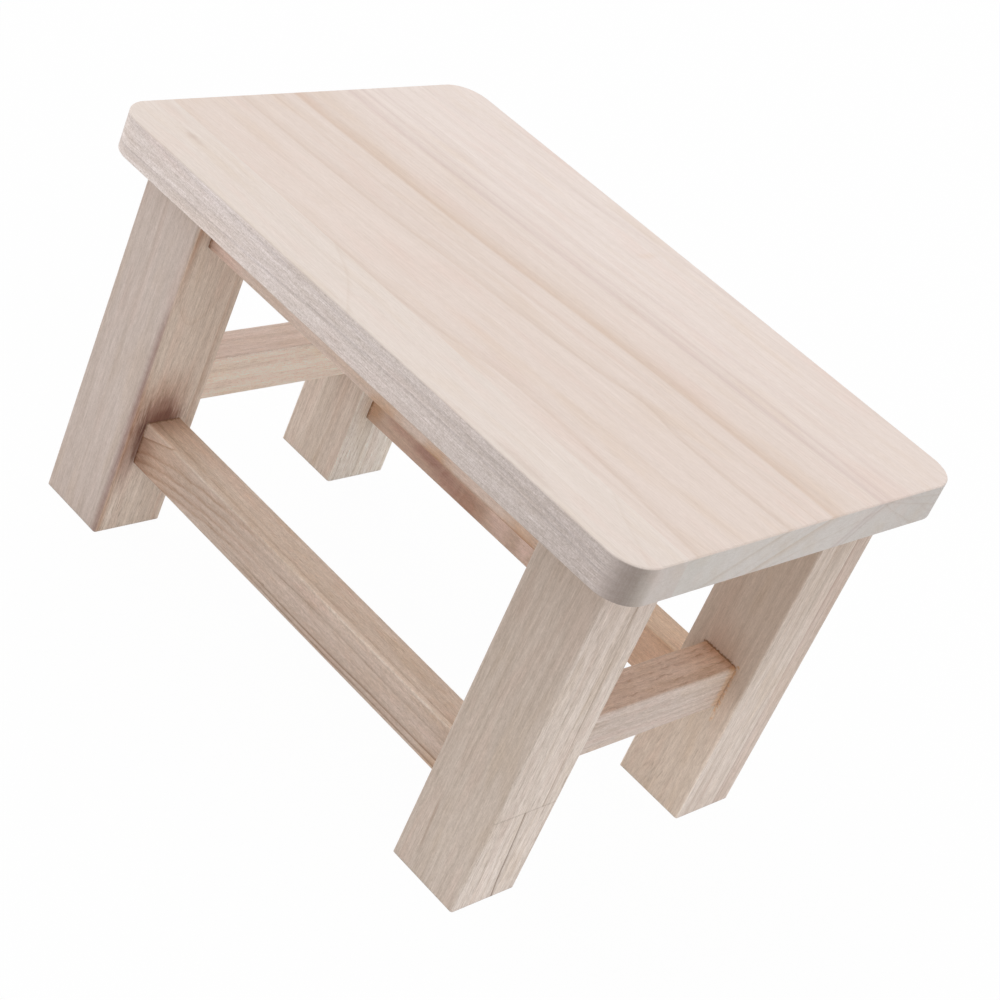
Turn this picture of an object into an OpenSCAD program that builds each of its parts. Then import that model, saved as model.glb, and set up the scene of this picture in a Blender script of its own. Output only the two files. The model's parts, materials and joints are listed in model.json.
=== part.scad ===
// A low rectangular wooden stool: a board seat on four square legs, tied by
// two rails under the long edges and four stretchers near the floor.
// X runs along the seat, Y from front to back and Z up. The origin is on the
// floor, under the middle of the seat.

/* [Seat] */
// Length of the seat, left to right
seat_length = 300; // [260:5:400]
// Width of the seat, front to back
seat_width = 200; // [170:5:300]
// Thickness of the seat boards
seat_thickness = 17; // [14:0.5:24]
// Radius of the seat's four corners, seen from above
seat_corner_radius = 14; // [8:0.5:24]
// Rounding of the seat's top and bottom edges
seat_edge_radius = 0.5; // [0.25:0.25:2]
// Width of the narrow board glued along the front edge
front_strip_width = 28.5; // [20:0.5:45]

/* [Legs] */
// Height of the stool, from the floor to the top of the seat
stool_height = 180; // [160:5:300]
// Side of the square legs
leg_side = 35; // [32:1:42]
// Distance from the seat's edges in to the outer faces of the legs
leg_inset = 14.5; // [10:0.5:24]
// Rounding of the upright edges of the legs
leg_edge_radius = 1; // [0.5:0.25:4]
// Height of the end joint in the front right leg, measured on its outer face
foot_joint_height = 46; // [30:1:70]

/* [Stretchers and rails] */
// Width of a stretcher or rail, across its length
bar_width = 18; // [14:0.5:20]
// Height of a stretcher or rail
bar_height = 20.8; // [16:0.2:26]
// Rounding of the long edges of a stretcher or rail
bar_edge_radius = 1; // [0.5:0.25:3]
// Height of the long stretchers' undersides above the floor
stretcher_clearance = 35.2; // [20:0.2:60]

/* [Joints] */
// Length of each tenon past its shoulder
tenon_length = 12; // [8:0.5:13]
// Width of the shoulder all round each tenon
tenon_shoulder = 3; // [2:0.25:4]
// Gap for glue all round each tenon, dowel and screw
glue_gap = 0.15; // [0.05:0.05:0.3]
// Gap for glue past the end of each tenon and dowel
end_gap = 0.5; // [0.2:0.1:0.8]
// Diameter of the dowels between the legs and the seat
dowel_diameter = 8; // [6:0.5:9]
// Length of the dowels
dowel_length = 24; // [18:1:28]
// Depth that the dowels reach into the seat
dowel_seat_depth = 10; // [7:0.5:11]
// Length of the fingers of the end joint in the front right leg
finger_length = 10; // [6:0.5:14]
// Width of the flat tip of each finger
finger_tip = 0.8; // [0.4:0.1:1.2]
// Number of fingers across the leg
finger_count = 5; // [3:1:7]

/* [Screws] */
// Diameter of the screws that hold the seat to the rails
screw_diameter = 4; // [3:0.5:5]
// Diameter of the countersunk screw heads
screw_head_diameter = 8; // [6:0.5:9]
// Height of the countersunk screw heads
screw_head_height = 2.6; // [2:0.1:3]
// Length of the screws, head included
screw_length = 30; // [26:1:32]
// Length of the pointed tip of each screw
screw_tip_length = 5; // [3:0.5:7]
// Diameter of the flat at the very tip
screw_tip_diameter = 0.8; // [0.5:0.1:1.2]
// Depth of the cross-shaped recess in each head
recess_depth = 1.6; // [1:0.1:1.8]
// Width of the arms of the recess
recess_width = 1; // [0.8:0.1:1.4]
// Span of the recess from arm tip to arm tip
recess_span = 4.4; // [3:0.1:5]
// Distance between the two screws in each rail
screw_spacing = 120; // [80:5:160]

/* [Hidden] */

$fn = 64;
// How far a cut runs past the face that it opens
cut_over = 1;
LEFT = -1;
RIGHT = 1;
FRONT = -1;
REAR = 1;
// Bevel at both ends of a dowel
dowel_bevel = 1;
// How far a dowel stands from its leg's axis, outwards along the seat and
// inwards across it, clear of the rail's tenon and the seat's glue line
dowel_shift_out = 3;
dowel_shift_in = 4;

leg_height = stool_height - seat_thickness;
leg_x = seat_length / 2 - leg_inset - leg_side / 2;
leg_y = seat_width / 2 - leg_inset - leg_side / 2;
long_span = 2 * leg_x - leg_side;
short_span = 2 * leg_y - leg_side;
tenon_width = bar_width - 2 * tenon_shoulder;
tenon_height = bar_height - 2 * tenon_shoulder;
long_stretcher_z = stretcher_clearance + bar_height / 2;
short_stretcher_z = long_stretcher_z + bar_height;
rail_z = leg_height - bar_height / 2;
glue_line_y = front_strip_width - seat_width / 2;
dowel_x = leg_x + dowel_shift_out;
dowel_y = leg_y - dowel_shift_in;
finger_pitch = leg_side / finger_count;

// A box round its centre
module block(centre, size) {
    translate(centre)
        cube(size, center = true);
}

// A rectangle with round corners, round its centre
module round_rectangle(length, width, radius) {
    square([length - 2 * radius, width], center = true);
    square([length, width - 2 * radius], center = true);
    for (x = [-1, 1])
        for (y = [-1, 1])
            translate([x * (length / 2 - radius), y * (width / 2 - radius)])
                circle(r = radius);
}

// Half of a section through the seat, from a corner's axis out to the edge
module edge_profile() {
    intersection() {
        round_rectangle(2 * seat_corner_radius, seat_thickness, seat_edge_radius);
        translate([0, -seat_thickness / 2])
            square([seat_corner_radius, seat_thickness]);
    }
}

// The whole seat, before its holes are drilled and its glue line is drawn:
// a middle block of full width, a block between the corners at each end, and
// a quarter turn of the edge at each corner, all meeting face to face
module seat_blank() {
    straight_length = seat_length - 2 * seat_corner_radius;
    straight_width = seat_width - 2 * seat_corner_radius;
    translate([0, 0, leg_height + seat_thickness / 2]) {
        rotate([90, 0, 90])
            linear_extrude(straight_length, center = true)
                round_rectangle(seat_width, seat_thickness, seat_edge_radius);
        for (turn = [0, 180])
            rotate([0, 0, turn])
                translate([straight_length / 2, 0, 0])
                    rotate([90, 0, 0])
                        linear_extrude(straight_width, center = true)
                            edge_profile();
        for (corner = [[RIGHT, REAR, 0], [LEFT, REAR, 90], [LEFT, FRONT, 180], [RIGHT, FRONT, 270]])
            translate([corner[0] * straight_length / 2, corner[1] * straight_width / 2, 0])
                rotate([0, 0, corner[2]])
                    rotate_extrude(angle = 90)
                        edge_profile();
    }
}

// The seat with its blind holes for the dowels and screws
module seat_body() {
    difference() {
        seat_blank();
        dowel_holes();
        screw_holes();
    }
}

// The space in front of the seat's glue line, or behind it
module seat_side(side) {
    depth = seat_width + 2 * cut_over;
    block([0, glue_line_y + side * depth / 2, leg_height + seat_thickness / 2],
          [seat_length + 2 * cut_over, depth, seat_thickness + 2 * cut_over]);
}

module seat_main_board() {
    color("#e3d5ca")
        intersection() {
            seat_body();
            seat_side(REAR);
        }
}

module seat_front_strip() {
    color("#e8dad0")
        intersection() {
            seat_body();
            seat_side(FRONT);
        }
}

// Tenons at both ends of a long bar, as one box that runs through the bar
module long_tenons(y, z, side_gap, far_gap) {
    block([0, y, z],
          [long_span + 2 * (tenon_length + far_gap),
           tenon_width + 2 * side_gap, tenon_height + 2 * side_gap]);
}

// Tenons at both ends of a short bar, as one box that runs through the bar
module short_tenons(x, z, side_gap, far_gap) {
    block([x, 0, z],
          [tenon_width + 2 * side_gap,
           short_span + 2 * (tenon_length + far_gap), tenon_height + 2 * side_gap]);
}

// A bar between a left and a right leg, with its tenons
module long_bar(y, z) {
    translate([0, y, z])
        rotate([90, 0, 90])
            linear_extrude(long_span, center = true)
                round_rectangle(bar_width, bar_height, bar_edge_radius);
    long_tenons(y, z, 0, 0);
}

// A bar between a front and a rear leg, with its tenons
module short_bar(x, z) {
    translate([x, 0, z])
        rotate([90, 0, 0])
            linear_extrude(short_span, center = true)
                round_rectangle(bar_width, bar_height, bar_edge_radius);
    short_tenons(x, z, 0, 0);
}

// All mortises, as boxes that are cut from every leg
module mortises() {
    for (side = [FRONT, REAR]) {
        long_tenons(side * leg_y, long_stretcher_z, glue_gap, end_gap);
        long_tenons(side * leg_y, rail_z, glue_gap, end_gap);
    }
    for (side = [LEFT, RIGHT])
        short_tenons(side * leg_x, short_stretcher_z, glue_gap, end_gap);
}

// Repeats what it is given over the four legs' dowels
module at_dowels() {
    for (x = [LEFT, RIGHT])
        for (y = [FRONT, REAR])
            translate([x * dowel_x, y * dowel_y, leg_height + dowel_seat_depth])
                children();
}

// The holes that take the dowels, in the legs and the seat
module dowel_holes() {
    hole_length = dowel_length + 2 * end_gap;
    at_dowels()
        translate([0, 0, end_gap - hole_length])
            cylinder(h = hole_length, d = dowel_diameter + 2 * glue_gap);
}

// One dowel, with its upper end at the origin
module dowel() {
    tip_diameter = dowel_diameter - 2 * dowel_bevel;
    translate([0, 0, -dowel_bevel])
        cylinder(h = dowel_bevel, d1 = dowel_diameter, d2 = tip_diameter);
    translate([0, 0, dowel_bevel - dowel_length])
        cylinder(h = dowel_length - 2 * dowel_bevel, d = dowel_diameter);
    translate([0, 0, -dowel_length])
        cylinder(h = dowel_bevel, d1 = tip_diameter, d2 = dowel_diameter);
}

// Repeats what it is given over the four screws, at the rails' undersides
module at_screws() {
    for (x = [LEFT, RIGHT])
        for (y = [FRONT, REAR])
            translate([x * screw_spacing / 2, y * leg_y, leg_height - bar_height])
                children();
}

// A screw's outline turned round its axis, larger by the gap that is given
module screw_shape(gap) {
    cylinder(h = screw_head_height,
             d1 = screw_head_diameter + 2 * gap, d2 = screw_diameter + 2 * gap);
    cylinder(h = screw_length - screw_tip_length, d = screw_diameter + 2 * gap);
    translate([0, 0, screw_length - screw_tip_length])
        cylinder(h = screw_tip_length + gap,
                 d1 = screw_diameter + 2 * gap, d2 = screw_tip_diameter + 2 * gap);
}

// The pilot holes and countersinks in the rails and the seat
module screw_holes() {
    at_screws()
        screw_shape(glue_gap);
}

// One screw, with its head at the origin and a cross-shaped recess in it
module screw() {
    difference() {
        screw_shape(0);
        for (turn = [0, 90])
            rotate([0, 0, turn])
                block([0, 0, 0], [recess_span, recess_width, 2 * recess_depth]);
    }
}

// A plain leg at one corner of the stool
module leg_blank(x_side, y_side) {
    translate([x_side * leg_x, y_side * leg_y, 0])
        linear_extrude(leg_height)
            round_rectangle(leg_side, leg_side, leg_edge_radius);
}

// A leg with its mortises and its dowel hole
module leg(x_side, y_side) {
    difference() {
        leg_blank(x_side, y_side);
        mortises();
        dowel_holes();
    }
}

// Everything below the fingers of the front right leg's end joint
module below_fingers() {
    left_x = leg_x - leg_side / 2;
    low = foot_joint_height;
    high = foot_joint_height + finger_length;
    zigzag = [for (i = [0 : finger_count])
        for (p = [[i, -finger_tip / 2, low], [i, finger_tip / 2, low],
                  [i + 0.5, -finger_tip / 2, high], [i + 0.5, finger_tip / 2, high]])
            [left_x + p[0] * finger_pitch + p[1], p[2]]];
    translate([0, FRONT * (leg_y - leg_side / 2) + cut_over, 0])
        rotate([90, 0, 0])
            linear_extrude(leg_side + 2 * cut_over)
                polygon(concat([[left_x - finger_pitch, -cut_over]],
                               [[left_x - finger_pitch, low]],
                               zigzag,
                               [[left_x + leg_side + finger_pitch, low]],
                               [[left_x + leg_side + finger_pitch, -cut_over]]));
}

module front_left_leg() {
    color("#bfb0a4")
        leg(LEFT, FRONT);
}

module rear_left_leg() {
    color("#a6937f")
        leg(LEFT, REAR);
}

module front_right_leg() {
    color("#c4b6ab")
        difference() {
            leg(RIGHT, FRONT);
            below_fingers();
        }
}

module front_right_leg_foot() {
    color("#bcab9c")
        intersection() {
            leg(RIGHT, FRONT);
            below_fingers();
        }
}

module rear_right_leg() {
    color("#cdc0b6")
        leg(RIGHT, REAR);
}

module front_stretcher() {
    color("#b9a08f")
        long_bar(FRONT * leg_y, long_stretcher_z);
}

module rear_stretcher() {
    color("#a58473")
        long_bar(REAR * leg_y, long_stretcher_z);
}

module left_stretcher() {
    color("#b39b8a")
        short_bar(LEFT * leg_x, short_stretcher_z);
}

module right_stretcher() {
    color("#b7a190")
        short_bar(RIGHT * leg_x, short_stretcher_z);
}

// A rail under one long edge of the seat, drilled for its two screws
module rail(side) {
    difference() {
        long_bar(side * leg_y, rail_z);
        screw_holes();
    }
}

module front_rail() {
    color("#c09a84")
        rail(FRONT);
}

module rear_rail() {
    color("#b58f79")
        rail(REAR);
}

module leg_dowels() {
    color("#d9b98f")
        at_dowels()
            dowel();
}

module seat_screws() {
    color("silver")
        at_screws()
            screw();
}

seat_main_board();
seat_front_strip();
front_left_leg();
rear_left_leg();
front_right_leg();
front_right_leg_foot();
rear_right_leg();
front_stretcher();
rear_stretcher();
left_stretcher();
right_stretcher();
front_rail();
rear_rail();
leg_dowels();
seat_screws();
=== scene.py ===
"""Looks of the shoe fitting stool.

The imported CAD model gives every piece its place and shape. This script gives each piece its wood,
worked out from its place in millimetres, and sets up the floor, the studio light and the camera.
"""
import json
import math

import bpy
from mathutils import Matrix, Vector


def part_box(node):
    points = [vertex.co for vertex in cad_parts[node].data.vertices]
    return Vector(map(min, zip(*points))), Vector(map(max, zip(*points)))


bl_info = {
    "name": "Shoe fitting stool",
    "version": (1, 0, 0),
    "blender": (4, 5, 0),
    "location": "3D View > Sidebar > Stool",
    "description": "Pale wood for the pieces of a low stool, with a floor, studio light and a camera",
    "category": "Object",
}

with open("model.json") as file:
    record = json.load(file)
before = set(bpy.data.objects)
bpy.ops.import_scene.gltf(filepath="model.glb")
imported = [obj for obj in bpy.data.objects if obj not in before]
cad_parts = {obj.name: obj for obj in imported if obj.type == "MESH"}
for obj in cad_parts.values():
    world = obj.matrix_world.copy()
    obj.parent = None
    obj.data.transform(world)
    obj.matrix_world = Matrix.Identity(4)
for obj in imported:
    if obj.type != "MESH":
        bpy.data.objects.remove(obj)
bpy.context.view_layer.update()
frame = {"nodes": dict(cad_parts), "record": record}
RECORD_COLOURS = {m["slot"]: tuple(m["base_color"]) for m in frame["record"]["materials"]}
MM = 1000.0


def box_mm(node):
    """Lowest and highest corner of a CAD node in millimetres."""
    low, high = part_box(node)
    return low * MM, high * MM


SEAT_LOW, SEAT_HIGH = box_mm("seat_main_board")
SEAT_FRONT = box_mm("seat_front_strip")[0].y
SEAT_TOP = SEAT_HIGH.z
SEAT_END = SEAT_HIGH.x
SEAT_CORNER = 14.0
UNDERSIDE = SEAT_LOW.z
FOOT_JOINT = box_mm("front_right_leg")[0].z
# Half of the length that shows between the legs, of a bar along x and of one along y
BARE_HALF = {"x": box_mm("rear_right_leg")[0].x, "y": box_mm("rear_right_leg")[0].y}

# Sizes of the wood's marks in millimetres: length and width of a short and a long vessel, the
# size of torn hairs on an upright along x, y and z, how far in from a face its painted light and
# shade end and are full, and the radius by which the painted light of a long edge is measured
PORE = (3.6, 0.42)
LONG_PORE = (9.0, 0.6)
HAIR = (0.8, 0.8, 6.0)
FACE = (0.9, 0.2)
ARRIS = 1.2

# How far the roughness of a piece wanders, how strongly its finish reflects, how much of the grain's
# strength the seat has, and how much painted shade darkens a leg up to the seat
SEAT_UNEVEN = 0.12
UNEVEN = 0.14
REFLECTION = 0.35
SEAT_GRAIN = 0.42
LEG_PAINTED_SHADE = -0.12

# Tints multiply the wood's own colour
YELLOW_BROWN = (0.905, 0.845, 0.785)
THIN_BROWN = (0.92, 0.89, 0.86)
DARK_GRAIN = (0.86, 0.82, 0.78)
PURPLE_BROWN = (0.91, 0.88, 0.885)
PALE_TAN = (0.975, 0.95, 0.915)
RED_BROWN = (0.80, 0.66, 0.58)
# SHADOW_BROWN is painted shade in the crease where a bar meets a leg, over its dark joint line
SHADOW_BROWN = (0.42, 0.30, 0.22)
TORN_DARK = (0.50, 0.36, 0.26)
GLUE_LINE = (0.74, 0.71, 0.68)
PINK = (1.0, 0.965, 0.955)
CREAM = (1.03, 1.045, 1.06)


def math_method(operation, reflected=False):
    """A method that adds a Math node on the value and another one, or the other way round."""

    def method(self, other):
        terms = (other, self) if reflected else (self, other)
        return self.graph.math(operation, *terms)

    return method


class Value:
    """A shader socket that takes part in sums: each operator adds a Math node to the graph.

    least and most give the smaller and the larger of two values.
    """

    __add__ = math_method("ADD")
    __radd__ = math_method("ADD", True)
    __sub__ = math_method("SUBTRACT")
    __rsub__ = math_method("SUBTRACT", True)
    __mul__ = math_method("MULTIPLY")
    __rmul__ = math_method("MULTIPLY", True)
    __truediv__ = math_method("DIVIDE")
    __rtruediv__ = math_method("DIVIDE", True)
    __pow__ = math_method("POWER")
    least = math_method("MINIMUM")
    most = math_method("MAXIMUM")

    def __init__(self, graph, socket):
        self.graph = graph
        self.socket = socket

    def __neg__(self):
        return self * -1.0

    def __abs__(self):
        return self.graph.math("ABSOLUTE", self)

    def root(self):
        """The square root."""
        return self.graph.math("SQRT", self)

    def fraction(self):
        """What is left over the whole number below."""
        return self.graph.math("FRACT", self)

    def ramp(self, start, end):
        """Smooth step from 0 at start to 1 at end; start may be the larger one, for a fall."""
        node = self.graph.node(
            "ShaderNodeMapRange",
            {"interpolation_type": "SMOOTHSTEP"},
            {"Value": self, "From Min": start, "From Max": end},
        )
        return Value(self.graph, node.outputs["Result"])


class Graph:
    """The node tree of a new material or world, with short ways to add nodes."""

    def __init__(self, owner):
        self.owner = owner
        self.owner.use_nodes = True
        self.tree = self.owner.node_tree
        self.tree.nodes.clear()

    def node(self, kind, settings=None, inputs=None):
        """Adds a node of a kind: its settings are set first, then each socket's value or link."""
        node = self.tree.nodes.new(kind)
        for name, value in (settings or {}).items():
            setattr(node, name, value)
        for name, value in (inputs or {}).items():
            self.feed(self.socket(node.inputs, name), value)
        return node

    def socket(self, sockets, name):
        """A socket by its place in the list, its identifier or its name."""
        if isinstance(name, int):
            return sockets[name]
        for socket in sockets:
            if socket.identifier == name:
                return socket
        return sockets[name]

    def feed(self, socket, value):
        """Links a socket to another one, or sets its own value."""
        if isinstance(value, Value):
            value = value.socket
        if isinstance(value, bpy.types.NodeSocket):
            self.tree.links.new(value, socket)
        elif socket.type == "RGBA":
            socket.default_value = (*value[:3], 1.0)
        else:
            socket.default_value = value

    def math(self, operation, *terms):
        """A Math node on values or numbers."""
        node = self.node("ShaderNodeMath", {"operation": operation}, dict(enumerate(terms)))
        return Value(self, node.outputs[0])

    def place(self):
        """The x, y and z of the shaded point, in millimetres."""
        where = self.node("ShaderNodeTexCoord").outputs["Object"]
        scaled = self.node("ShaderNodeMapping", None, {"Vector": where, "Scale": (MM, MM, MM)})
        parts = self.node("ShaderNodeSeparateXYZ", None, {0: scaled.outputs["Vector"]})
        return tuple(Value(self, parts.outputs[i]) for i in range(3))

    def vector(self, x, y, z):
        """Three values as one vector."""
        return self.node("ShaderNodeCombineXYZ", None, {0: x, 1: y, 2: z}).outputs[0]

    def noise(self, x, y, z, detail=2.0, roughness=0.5):
        """Soft noise about zero, mostly between -0.5 and 0.5, one cell for each unit."""
        sizes = {"Scale": 1.0, "Detail": detail, "Roughness": roughness}
        inputs = {"Vector": self.vector(x, y, z), **sizes}
        node = self.node("ShaderNodeTexNoise", {"noise_dimensions": "3D"}, inputs)
        return Value(self, node.outputs["Fac"]) - 0.5

    def curve(self, along, points):
        """A smooth curve through points (along, height), as a value of along."""
        starts = [p[0] for p in points]
        heights = [p[1] for p in points]
        first, span = starts[0], starts[-1] - starts[0]
        low, rise = min(heights), max(max(heights) - min(heights), 1e-3)
        node = self.node("ShaderNodeFloatCurve", None, {"Value": (along - first) / span})
        curve = node.mapping.curves[0]
        spots = [((s - first) / span, (h - low) / rise) for s, h in points]
        curve.points[0].location = spots[0]
        curve.points[-1].location = spots[-1]
        for spot in spots[1:-1]:
            curve.points.new(*spot)
        node.mapping.extend = "EXTRAPOLATED"
        node.mapping.use_clip = False
        node.mapping.update()
        return Value(self, node.outputs[0]) * rise + low

    def mix(self, share, first, second, blend="MIX"):
        """One colour turned into another by a share."""
        node = self.node(
            "ShaderNodeMix",
            {"data_type": "RGBA", "blend_type": blend},
            {"Factor_Float": share, "A_Color": first, "B_Color": second},
        )
        return self.socket(node.outputs, "Result_Color")

    def plain(self, colour):
        """One plain colour as a socket."""
        return self.mix(0.0, colour, colour)

    def scaled(self, colour, value):
        """A colour made lighter or darker by a value."""
        node = self.node(
            "ShaderNodeVectorMath", {"operation": "SCALE"}, {"Vector": colour, "Scale": value}
        )
        return node.outputs["Vector"]

    def seen_directly(self):
        """1 for the camera, for gloss and for what is seen through glass, and 0 for other light."""
        path = self.node("ShaderNodeLightPath")
        camera, gloss, through = (
            Value(self, path.outputs[name])
            for name in ("Is Camera Ray", "Is Glossy Ray", "Is Transmission Ray")
        )
        return camera.most(gloss).most(through)

    def relief(self, strength, distance, height):
        """The normals of a surface raised by a height, times a distance in millimetres."""
        inputs = {"Strength": strength, "Distance": distance / MM, "Height": height}
        return self.node("ShaderNodeBump", None, inputs).outputs["Normal"]

    def principled(self, inputs):
        """A Principled shader node with the given inputs."""
        return self.node("ShaderNodeBsdfPrincipled", None, inputs)

    def surface(self, shader):
        """Ends a material's graph in a shader."""
        self.node("ShaderNodeOutputMaterial", None, {"Surface": shader.outputs[0]})
        return self.owner


class Wood:
    """The wood of one CAD node in the making: its colour and the height of its surface so far.

    It also holds the node's box, and how far in the shaded point is from each of the six faces.
    """

    def __init__(self, node, ground):
        self.graph = Graph(bpy.data.materials.new(node + "_wood"))
        self.noise = self.graph.noise
        self.x, self.y, self.z = self.graph.place()
        self.low, self.high = box_mm(node)
        self.from_left, self.to_right = self.x - self.low.x, self.high.x - self.x
        self.from_front, self.to_back = self.y - self.low.y, self.high.y - self.y
        self.from_foot, self.to_top = self.z - self.low.z, self.high.z - self.z
        self.colour = self.graph.plain(ground)
        self.height = 0.0

    def tint(self, share, tint):
        """Multiplies the colour by a tint, as far as the share says."""
        self.colour = self.graph.mix(share, self.colour, tint, "MULTIPLY")

    def shade(self, amount):
        """Makes the colour lighter by an amount, or darker and browner where it is below zero."""
        red, green, blue = (amount * share + 1.0 for share in (0.9, 1.02, 1.15))
        self.tint(1.0, self.graph.vector(red, green, blue))

    def raise_by(self, amount):
        """Adds to the height of the surface, in millimetres."""
        self.height = amount + self.height

    def mottle(self, along, across, depth, length, width, strength):
        """Broad soft patches of tan and pink, drawn out along the grain."""
        patch = self.noise(along / length, across / width, depth / width, 2.0)
        self.tint((patch * strength).ramp(0.0, 0.5), PALE_TAN)
        self.tint((patch * -strength).ramp(0.0, 0.5), PINK)

    def fibres(self, along, ring, side, length, width, strength):
        """Lines along the grain, from short fine dashes to broad bands; end grain shows specks."""
        sizes = ((0.08, 0.6, 1.5), (0.25, 0.9, 1.0), (1.0, 2.2, 0.8), (3.0, 7.0, 0.9))
        total = 0.0
        for long, wide, share in sizes:
            line = self.noise(
                along / (long * length), ring / (wide * width), side / (wide * width), 3.0, 0.6
            )
            total = line * share + total
        self.shade(total * strength)
        self.raise_by(total * 0.03)

    def dashes(self, along, ring, side, size, share, strength):
        """Short dark dashes of a length and width, where vessels are cut open, in loose flocks."""
        long, wide = size
        dash = self.noise(along / long, ring / wide, side / wide, 1.0)
        flock = self.noise(along / 30.0, ring / 4.0, side / 4.0 + wide, 1.0) * 0.25
        mask = (dash + flock).ramp(0.26 - share, 0.40 - share)
        self.shade(mask * -strength)
        self.raise_by(mask * -0.03)

    def crumbs(self, strength):
        """Fine crumbly fleck, as large each way, where the saw tore the fibres."""
        fleck = self.noise(self.x / 0.6, self.y / 0.6, self.z / 0.6, 2.0, 0.6)
        self.shade(fleck * strength)
        self.raise_by(fleck * 0.03)

    def growth(self, along, ring, spacing, sharpness, tint, strength):
        """Lines of late wood: each cycle of the ring darkens slowly and ends sharply."""
        wander = self.noise(along / 70.0, ring / 9.0, 0.0, 1.0) * 0.5
        cycle = (ring / spacing + wander).fraction()
        uneven = self.noise(along / 160.0, ring / spacing, 3.0, 1.0).ramp(-0.25, 0.3)
        end = 1.0 - cycle.ramp(0.94, 1.0)
        self.tint(cycle**sharpness * end * uneven * strength, tint)

    def streak(self, along, across, points, rise, fall, tint, strength=1.0):
        """One named line: sharp on the side where across is smaller, soft on the other side.

        Its share climbs from 0 to 1 over rise millimetres up to the curve through the points, and
        falls back as the square of what is left of fall millimetres.
        """
        far = across - self.graph.curve(along, points)
        climb = far.ramp(-rise, 0.0)
        left = (1.0 - far / fall).most(0.0).least(1.0)
        uneven = self.noise(along / 22.0, float(points[0][1]), 0.0, 2.0) * 0.7 + 1.0
        self.tint((climb * left * left * uneven * strength).least(1.0), tint)

    def lines(self, along, across, share, rows):
        """Several streaks, each given as its points, rise, fall, tint and strength."""
        for points, rise, fall, tint, strength in rows:
            self.streak(along, across, points, rise, fall, tint, share * strength)

    def stain(self, centre, radii, tint, strength, ragged=(4.0, 4.0, 4.0)):
        """A soft blot of the given radii round a centre, ragged at the given sizes."""
        gaps = [(p - c) / r for p, c, r in zip((self.x, self.y, self.z), centre, radii)]
        far = (gaps[0] * gaps[0] + gaps[1] * gaps[1] + gaps[2] * gaps[2]).root()
        tongues = self.noise(*(p / s for p, s in zip((self.x, self.y, self.z), ragged)), 3.0)
        self.tint(((far + tongues * 0.7).ramp(1.0, 0.1) * strength).least(1.0), tint)

    def arrises(self, first, second, tint):
        """Painted light on the long edges, a highlight where the tint is above one; first and second
        are the ways in from the two nearest faces.

        Their sum is the radius where a rounded edge begins and 0.6 of it in its middle.
        """
        self.tint((first + second).ramp(1.15 * ARRIS, 0.7 * ARRIS), tint)

    def faces(self, first, second, first_light, second_light):
        """Painted light and shade: a tint that lightens or darkens each of two faces; first and
        second are the ways in from them.
        """
        self.tint(first.ramp(*FACE), first_light)
        self.tint(second.ramp(*FACE), second_light)

    def finish(self, settings, uneven=UNEVEN):
        """Ends the wood in the stool's thin matt finish."""
        return self.coat(settings.roughness, uneven, settings.bump)

    def coat(self, roughness, uneven, bump):
        """Ends the wood in a shader whose roughness wanders, with a relief of a strength."""
        cloud = self.noise(self.x / 9.0, self.y / 9.0, self.z / 9.0, 3.0)
        shader = self.graph.principled({
            "Base Color": self.colour,
            "Roughness": cloud * uneven + roughness,
            "Specular IOR Level": REFLECTION,
            "Normal": self.graph.relief(bump, 1.0, self.height),
        })
        return self.graph.surface(shader)


def dress(node, material):
    """Gives a CAD node one material."""
    slots = frame["nodes"][node].data.materials
    slots.clear()
    slots.append(material)


def colour_setting(name, description, default):
    """A colour in the panel."""
    return bpy.props.FloatVectorProperty(
        name=name,
        description=description,
        subtype="COLOR",
        size=3,
        min=0.0,
        max=1.0,
        default=default,
    )


def number_setting(name, description, default, **limits):
    """A number in the panel, with its limits, unit or subtype."""
    return bpy.props.FloatProperty(name=name, description=description, default=default, **limits)


def length_setting(name, description, default, least, most):
    """A length in the panel, in metres."""
    return number_setting(name, description, default, unit="LENGTH", min=least, max=most)


def share_setting(name, description, default):
    """A share in the panel, from nothing to all."""
    return number_setting(name, description, default, subtype="FACTOR", min=0.0, max=1.0)


def angle_setting(name, description, degrees):
    """An angle in the panel, given here in degrees."""
    return number_setting(name, description, math.radians(degrees), subtype="ANGLE")


class StoolWoodSettings(bpy.types.PropertyGroup):
    """Colours and grain of the stool's pieces."""

    seat_colour: colour_setting("Seat colour", "Wood of the two seat boards", (0.835, 0.71, 0.64))
    leg_colour: colour_setting("Leg colour", "Wood of the four legs", (0.78, 0.67, 0.59))
    stretcher_colour: colour_setting(
        "Stretcher colour", "Wood of the stretchers and the rails", (0.72, 0.57, 0.48)
    )
    dowel_colour: colour_setting(
        "Dowel colour",
        "Wood of the dowels between the legs and the seat",
        RECORD_COLOURS["dowel_wood"],
    )
    screw_colour: colour_setting(
        "Screw colour", "Dull zinc on the seat screws", RECORD_COLOURS["screw_steel"]
    )
    fibre_width: length_setting(
        "Fibre width", "Width of one fine line of the grain", 0.0006, 0.0001, 0.003
    )
    fibre_length: length_setting(
        "Fibre length", "Length over which a fine line of the grain changes", 0.04, 0.005, 0.2
    )
    ring_spacing: length_setting(
        "Ring spacing", "Mean distance between two growth rings", 0.0062, 0.002, 0.03
    )
    grain_strength: share_setting(
        "Grain strength", "How far the fine grain departs from the plain colour", 0.42
    )
    roughness: share_setting("Roughness", "Roughness of the thin matt finish", 0.62)
    bump: share_setting("Bump", "Strength of the grain's relief", 0.6)


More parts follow.
